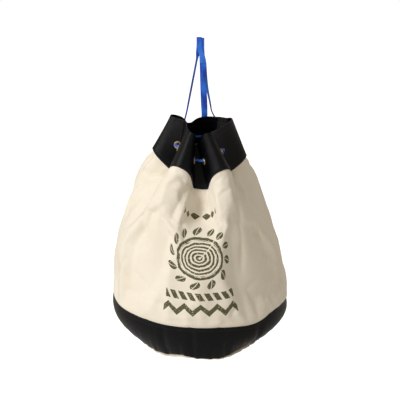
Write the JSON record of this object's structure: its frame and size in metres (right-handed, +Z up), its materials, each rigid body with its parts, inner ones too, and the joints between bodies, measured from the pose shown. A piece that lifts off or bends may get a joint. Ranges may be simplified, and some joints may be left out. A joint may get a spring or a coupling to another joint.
{
  "type": "rope storage bag",
  "caption": "Round canvas rope bag, cream with black top and base bands, its mouth gathered on a blue tape threaded through ten brass eyelets and hung by that tape.",
  "frame": {"origin": "hang point: axis of the hook that the two bights of tape go over, above the middle of the bag", "axes": "+Z up along the hanging line, -Y out of the front of the bag towards the viewer, +X to the right; the hook's axis runs along X"},
  "size_m": [0.4274, 0.3988, 0.746],
  "materials": {
    "canvas_cream": "matte",
    "canvas_black": "matte",
    "tape_blue": "matte",
    "eyelet_brass": "satin"
  },
  "bodies": {
    "hook_bight": {"tape_bight_front": "tape_blue", "tape_bight_rear": "tape_blue"},
    "strands": {"strand_centre_front": "tape_blue", "strand_centre_rear": "tape_blue", "strand_left": "tape_blue", "strand_right": "tape_blue"},
    "bag": {"base_band": "canvas_black", "base_disc": "canvas_cream", "body_panel_back": "canvas_cream", "body_panel_front": "canvas_cream", "eyelet_01": "eyelet_brass", "eyelet_02": "eyelet_brass", "eyelet_03": "eyelet_brass", "eyelet_04": "eyelet_brass", "eyelet_05": "eyelet_brass", "eyelet_06": "eyelet_brass", "eyelet_07": "eyelet_brass", "eyelet_08": "eyelet_brass", "eyelet_09": "eyelet_brass", "eyelet_10": "eyelet_brass", "eyelet_washer_01": "eyelet_brass", "eyelet_washer_02": "eyelet_brass", "eyelet_washer_03": "eyelet_brass", "eyelet_washer_04": "eyelet_brass", "eyelet_washer_05": "eyelet_brass", "eyelet_washer_06": "eyelet_brass", "eyelet_washer_07": "eyelet_brass", "eyelet_washer_08": "eyelet_brass", "eyelet_washer_09": "eyelet_brass", "eyelet_washer_10": "eyelet_brass", "tape_front_join": "tape_blue", "tape_front_run": "tape_blue", "tape_join": "tape_blue", "tape_rear_run": "tape_blue", "top_band": "canvas_black"}
  },
  "joints": [
    {"name": "bag_twist", "type": "hinge", "parent": "hook_bight", "child": "strands", "pos_m": [0, 0, -0.01615], "axis": [0, 0, 1], "range_deg": [-120, 120]},
    {"name": "bag_tilt", "type": "hinge", "parent": "strands", "child": "bag", "pos_m": [0, 0, -0.15], "axis": [1, 0, 0], "range_deg": [-60, 60]}
  ]
}
